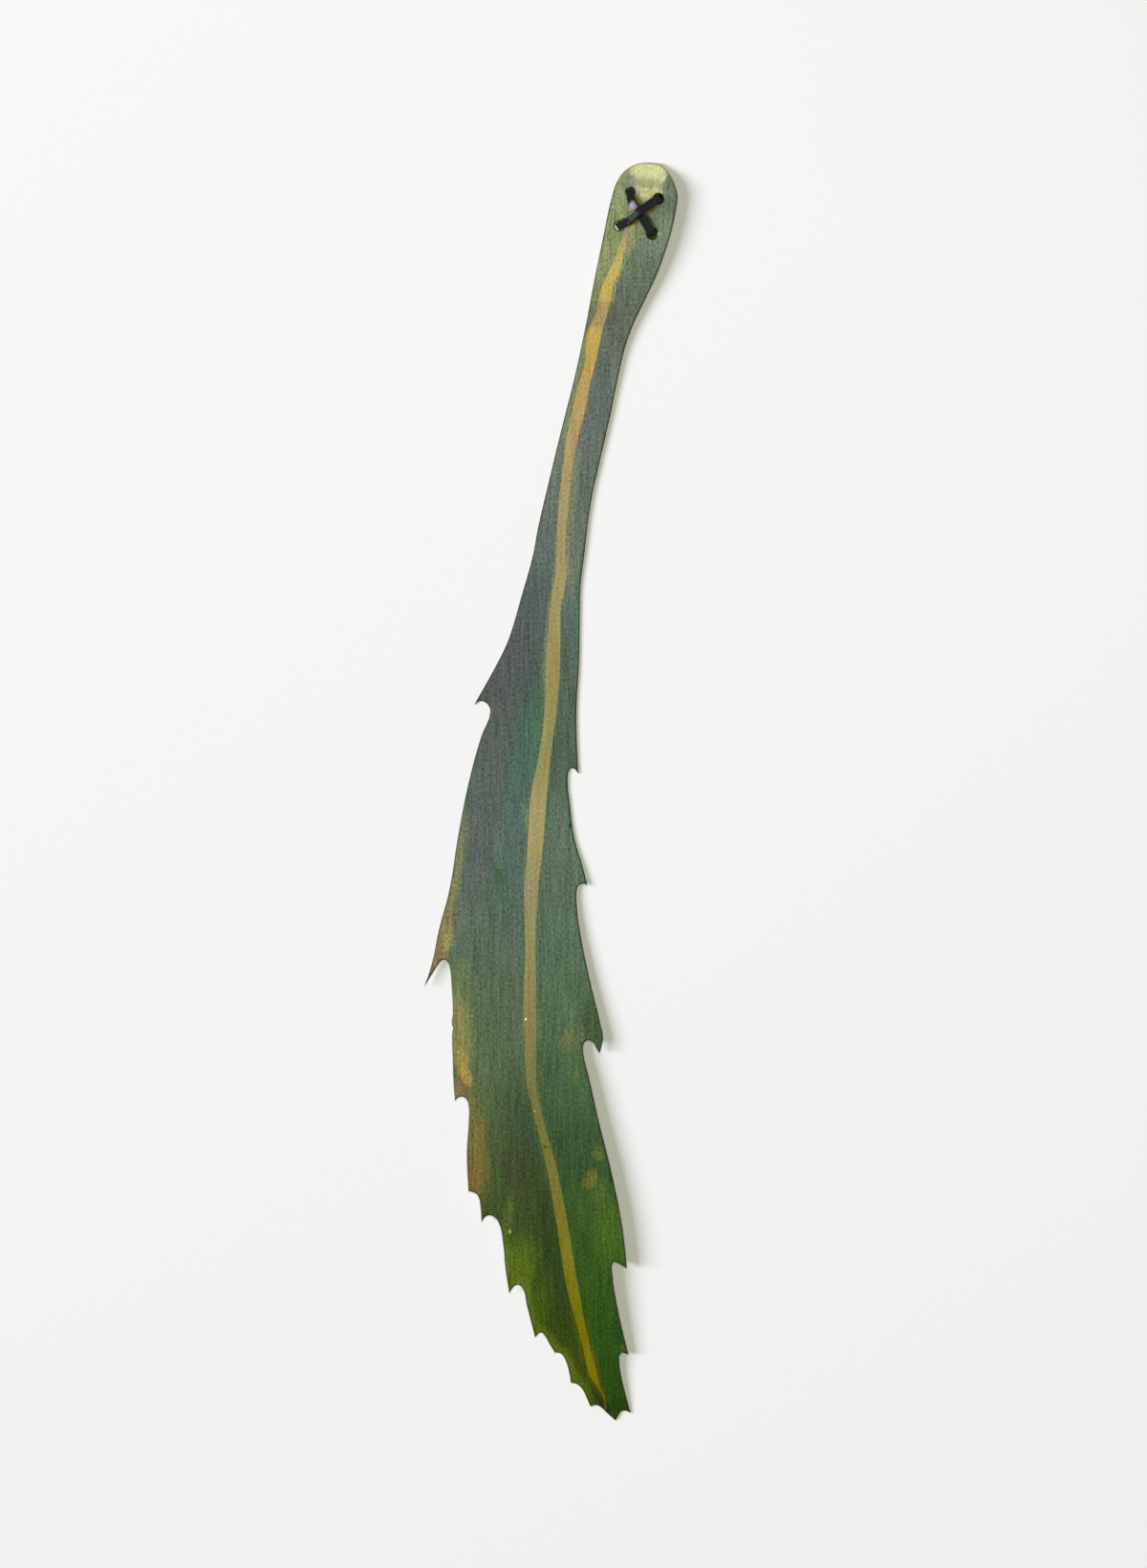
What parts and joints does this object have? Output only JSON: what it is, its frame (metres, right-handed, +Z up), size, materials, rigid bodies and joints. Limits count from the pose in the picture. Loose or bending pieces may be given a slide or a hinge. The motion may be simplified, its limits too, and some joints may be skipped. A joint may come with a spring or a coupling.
{
  "type": "sheet-metal lancewood leaf",
  "caption": "Long toothed lancewood leaf cut from thin dyed brushed metal sheet, gently arched, with black cable ties crossed through drilled holes at its round end.",
  "frame": {"origin": "on the surface that the leaf rests on, under the middle of its outline", "axes": "+Y along the leaf from its tip to its round top end, +Z up out of its dyed face, +X to the right seen from above with the top end away from the viewer"},
  "size_m": [0.0774, 0.385, 0.0081],
  "materials": {
    "dyed_metal": "brushed lengthwise and dyed in translucent leaf greens, slate and olive, with a yellow midrib",
    "black_nylon": "moulded black nylon with a satin gloss"
  },
  "bodies": {
    "root": {"leaf_blade": "dyed_metal", "cable_tie_over": "black_nylon", "cable_tie_under": "black_nylon"}
  },
  "joints": []
}
